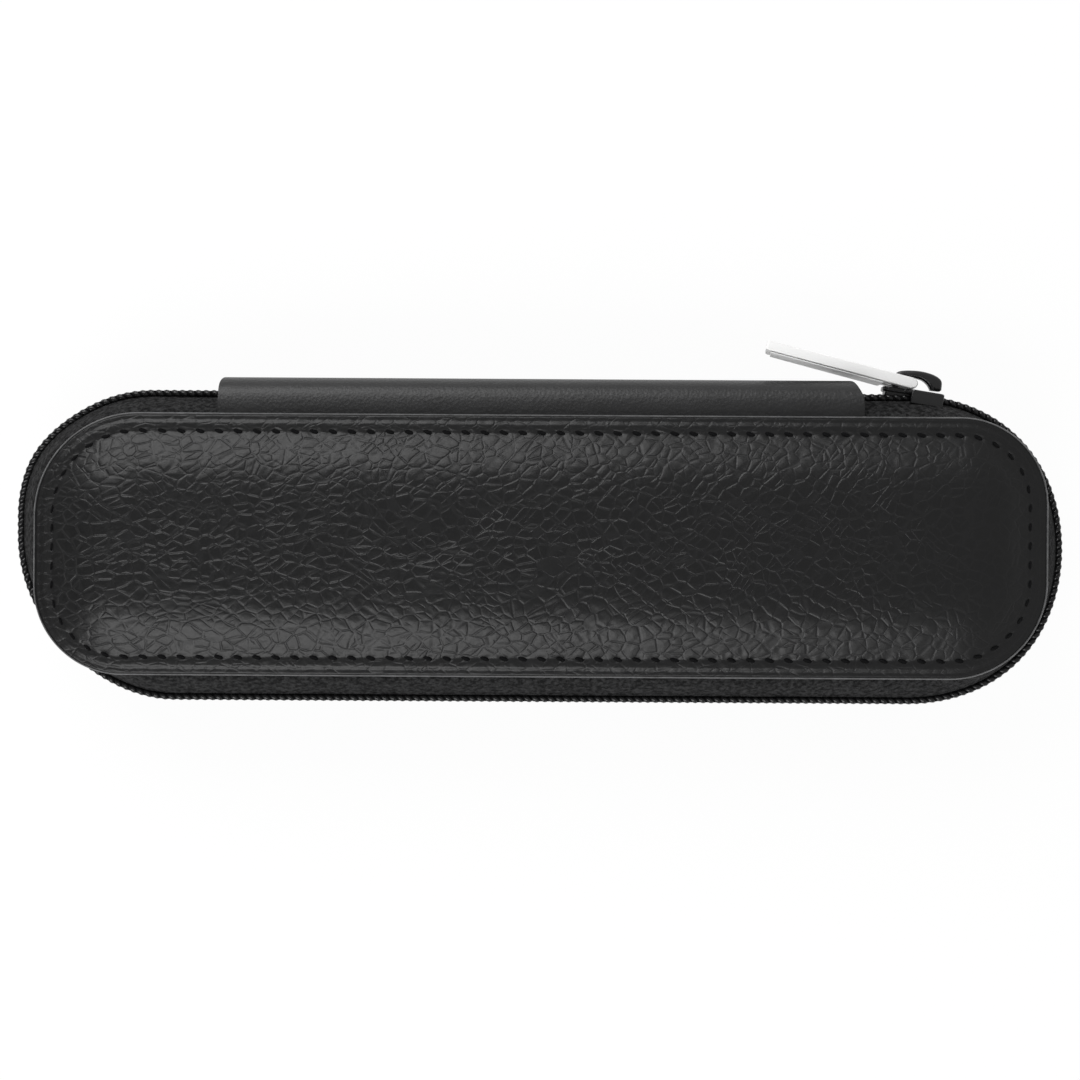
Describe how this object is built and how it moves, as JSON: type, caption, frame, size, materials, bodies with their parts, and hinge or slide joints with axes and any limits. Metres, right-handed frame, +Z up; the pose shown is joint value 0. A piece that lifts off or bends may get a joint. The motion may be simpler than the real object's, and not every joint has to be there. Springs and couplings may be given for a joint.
{
  "type": "zipped pen case",
  "caption": "Slim padded leather case for fountain pens: two stitched grained panels on a leather spine, closed by a coil zip with a long flat puller.",
  "frame": {"origin": "on the back panel's resting face, below the middle of the panels", "axes": "+X along the case, +Y towards the spine, +Z up through the closed case"},
  "size_m": [0.1692, 0.0594, 0.025],
  "materials": {
    "grained_leather": "black pebble-grained leather, semi-matt",
    "smooth_leather": "black fine-grained leather, satin",
    "foam": "soft foam sheet",
    "board": "stiffener board",
    "lining": "black brushed lining",
    "thread": "black waxed thread",
    "zip_tape": "black woven polyester tape",
    "zip_coil": "black nylon coil",
    "elastic": "black ribbed elastic",
    "black_metal": "gloss black enamel",
    "satin_metal": "satin silver plate"
  },
  "bodies": {
    "back_shell": {"back_cover": "grained_leather", "back_padding": "foam", "back_board": "board", "back_lining": "lining", "back_stitching": "thread", "back_zip_tape": "zip_tape", "back_zip_coil": "zip_coil", "back_top_stop": "black_metal", "left_pen_band": "elastic", "right_pen_band": "elastic"},
    "spine": {"spine_leather": "smooth_leather", "spine_lining": "lining", "zip_bottom_stop": "black_metal"},
    "front_shell": {"front_cover": "grained_leather", "front_padding": "foam", "front_board": "board", "front_lining": "lining", "front_stitching": "thread", "front_zip_tape": "zip_tape", "front_zip_coil": "zip_coil", "front_top_stop": "black_metal"},
    "slider": {"slider_body": "black_metal"},
    "puller": {"zip_puller": "satin_metal"}
  },
  "joints": [
    {"name": "spine_fold", "type": "hinge", "parent": "back_shell", "child": "spine", "pos_m": [0, 0.0254, 0.0047], "axis": [-1, 0, 0], "range_deg": [0, 90], "deforming": ["spine_leather", "spine_lining", "back_zip_tape", "back_zip_coil", "front_zip_tape", "front_zip_coil"]},
    {"name": "lid_fold", "type": "hinge", "parent": "spine", "child": "front_shell", "pos_m": [0, 0.0254, 0.0203], "axis": [-1, 0, 0], "range_deg": [0, 90], "deforming": ["spine_leather", "spine_lining", "back_zip_tape", "back_zip_coil", "front_zip_tape", "front_zip_coil"]},
    {"name": "slider_run", "type": "hinge", "parent": "back_shell", "child": "slider", "pos_m": [0.05945, -0.00115, 0.0125], "axis": [0, 0, -1], "range_deg": [0, 170]},
    {"name": "puller_flip", "type": "hinge", "parent": "slider", "child": "puller", "pos_m": [0.06036, 0.02597, 0.0125], "axis": [0, 0, -1], "range_deg": [-4, 130]}
  ],
  "couplings": [
    {"joint": "lid_fold", "follows": "spine_fold", "ratio": 1}
  ]
}
